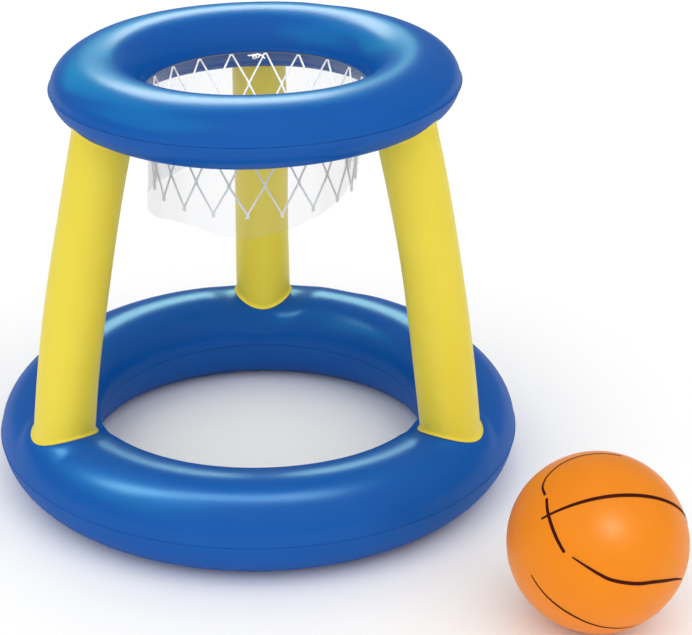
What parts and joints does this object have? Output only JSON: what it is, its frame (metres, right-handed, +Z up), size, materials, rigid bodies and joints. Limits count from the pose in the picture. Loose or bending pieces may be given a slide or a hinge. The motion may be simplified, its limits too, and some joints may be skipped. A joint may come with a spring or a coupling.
{
  "type": "floating basketball hoop",
  "caption": "Inflatable pool basketball hoop: a net in a clear skirt under a top ring, held on leaning legs over a floating base ring, with its inflated ball beside it.",
  "frame": {"origin": "on the floor, at the centre of the footprint of hoop and ball", "axes": "+Z up; the front, where the ball lies and from which the picture is taken, looks to -Y; +X is the viewer's right"},
  "size_m": [0.724, 0.7336, 0.4914],
  "materials": {
    "ring_vinyl": "glossy PVC sheet",
    "leg_vinyl": "glossy PVC sheet",
    "ball_vinyl": "glossy PVC sheet with dark printed lines",
    "clear_film": "clear PVC film",
    "net_cord": "matt white cord",
    "valve_vinyl": "moulded soft PVC"
  },
  "bodies": {
    "hoop": {"base_ring_lower_panel": "ring_vinyl", "base_ring_upper_panel": "ring_vinyl", "top_ring_lower_panel": "ring_vinyl", "top_ring_upper_panel": "ring_vinyl", "front_left_leg": "leg_vinyl", "front_right_leg": "leg_vinyl", "rear_leg": "leg_vinyl", "clear_skirt": "clear_film", "net": "net_cord", "base_ring_valve_body": "valve_vinyl", "top_ring_valve_body": "valve_vinyl", "front_left_leg_valve_body": "valve_vinyl", "front_right_leg_valve_body": "valve_vinyl", "rear_leg_valve_body": "valve_vinyl"},
    "ball": {"ball_skin": "ball_vinyl", "ball_valve_body": "valve_vinyl"},
    "base_ring_plug": {"base_ring_valve_plug": "valve_vinyl"},
    "base_ring_flap": {"base_ring_valve_flap": "valve_vinyl"},
    "top_ring_plug": {"top_ring_valve_plug": "valve_vinyl"},
    "top_ring_flap": {"top_ring_valve_flap": "valve_vinyl"},
    "front_left_leg_plug": {"front_left_leg_valve_plug": "valve_vinyl"},
    "front_left_leg_flap": {"front_left_leg_valve_flap": "valve_vinyl"},
    "front_right_leg_plug": {"front_right_leg_valve_plug": "valve_vinyl"},
    "front_right_leg_flap": {"front_right_leg_valve_flap": "valve_vinyl"},
    "rear_leg_plug": {"rear_leg_valve_plug": "valve_vinyl"},
    "rear_leg_flap": {"rear_leg_valve_flap": "valve_vinyl"},
    "ball_plug": {"ball_valve_plug": "valve_vinyl"},
    "ball_flap": {"ball_valve_flap": "valve_vinyl"}
  },
  "joints": [
    {"name": "ball_lift", "type": "slide", "parent": "hoop", "child": "ball", "axis": [0, 0, 1], "range_m": [0, 0.6]},
    {"name": "base_ring_plug_pull", "type": "slide", "parent": "hoop", "child": "base_ring_plug", "axis": [0.3375, 0.7237, 0.602], "range_m": [0, 0.012]},
    {"name": "base_ring_flap_swing", "type": "hinge", "parent": "hoop", "child": "base_ring_flap", "pos_m": [0.04475, 0.32191, 0.07359], "axis": [0.2544, 0.5456, -0.7985], "range_deg": [0, 60]},
    {"name": "top_ring_plug_pull", "type": "slide", "parent": "hoop", "child": "top_ring_plug", "axis": [0.3106, 0.6661, 0.6781], "range_m": [0, 0.012]},
    {"name": "top_ring_flap_swing", "type": "hinge", "parent": "hoop", "child": "top_ring_flap", "pos_m": [0.01457, 0.25718, 0.46895], "axis": [0.2866, 0.6146, -0.735], "range_deg": [0, 60]},
    {"name": "front_left_leg_plug_pull", "type": "slide", "parent": "hoop", "child": "front_left_leg_plug", "axis": [-0.5, 0.866, 0], "range_m": [0, 0.012]},
    {"name": "front_left_leg_flap_swing", "type": "hinge", "parent": "hoop", "child": "front_left_leg_flap", "pos_m": [-0.27707, -0.02349, 0.19403], "axis": [0.8548, 0.4935, -0.1605], "range_deg": [0, 60]},
    {"name": "front_right_leg_plug_pull", "type": "slide", "parent": "hoop", "child": "front_right_leg_plug", "axis": [0.5, 0.866, 0], "range_m": [0, 0.012]},
    {"name": "front_right_leg_flap_swing", "type": "hinge", "parent": "hoop", "child": "front_right_leg_flap", "pos_m": [0.14317, -0.02349, 0.19403], "axis": [0.8548, -0.4935, 0.1605], "range_deg": [0, 60]},
    {"name": "rear_leg_plug_pull", "type": "slide", "parent": "hoop", "child": "rear_leg_plug", "axis": [0, 0.987, 0.1605], "range_m": [0, 0.012]},
    {"name": "rear_leg_flap_swing", "type": "hinge", "parent": "hoop", "child": "rear_leg_flap", "pos_m": [-0.06695, 0.32405, 0.1925], "axis": [1, 0, 0], "range_deg": [0, 60]},
    {"name": "ball_plug_pull", "type": "slide", "parent": "ball", "child": "ball_plug", "axis": [0, 1, 0], "range_m": [0, 0.012]},
    {"name": "ball_flap_swing", "type": "hinge", "parent": "ball", "child": "ball_flap", "pos_m": [0.27633, -0.1961, 0.0901], "axis": [0, 0, 1], "range_deg": [0, 60]}
  ]
}
